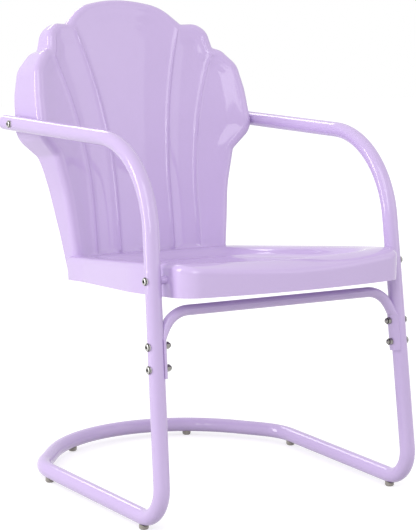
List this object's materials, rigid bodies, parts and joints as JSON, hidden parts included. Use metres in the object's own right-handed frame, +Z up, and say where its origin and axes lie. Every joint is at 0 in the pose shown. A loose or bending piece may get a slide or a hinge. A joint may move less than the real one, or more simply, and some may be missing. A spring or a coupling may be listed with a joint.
{
  "type": "metal spring lawn chair",
  "caption": "Cantilever armchair of bent steel tube with a scalloped, petal-creased metal back and a dished metal seat that spring as the tube flexes.",
  "frame": {"origin": "on the floor under the middle of the chair: the centre of the bottom of its bounding box", "axes": "+Z up, the sitter faces -Y, +X to the right seen from the front"},
  "size_m": [0.5625, 0.6608, 0.8649],
  "materials": {
    "back_paint": "gloss",
    "seat_paint": "gloss",
    "frame_paint": "gloss",
    "spacer_paint": "gloss",
    "sleeve_steel": "satin",
    "bolt_steel": "bright",
    "glide_plastic": "satin"
  },
  "bodies": {
    "root": {"back_panel": "back_paint", "seat_pan": "seat_paint", "left_frame": "frame_paint", "right_frame": "frame_paint", "front_stretcher": "frame_paint", "arm_end_caps": "frame_paint", "arm_spacers": "spacer_paint", "seat_side_spacers": "spacer_paint", "rear_bar_sleeve": "sleeve_steel", "arm_bolts": "bolt_steel", "arm_washers": "bolt_steel", "arm_nuts": "bolt_steel", "seat_side_bolts": "bolt_steel", "seat_side_washers": "bolt_steel", "seat_side_nuts": "bolt_steel", "stretcher_bolts": "bolt_steel", "stretcher_cap_nuts": "bolt_steel", "back_seat_bolts": "bolt_steel", "back_seat_washers": "bolt_steel", "back_seat_nuts": "bolt_steel", "glide_screws": "bolt_steel", "front_glides": "glide_plastic", "side_glides": "glide_plastic", "rear_glides": "glide_plastic"}
  },
  "joints": []
}
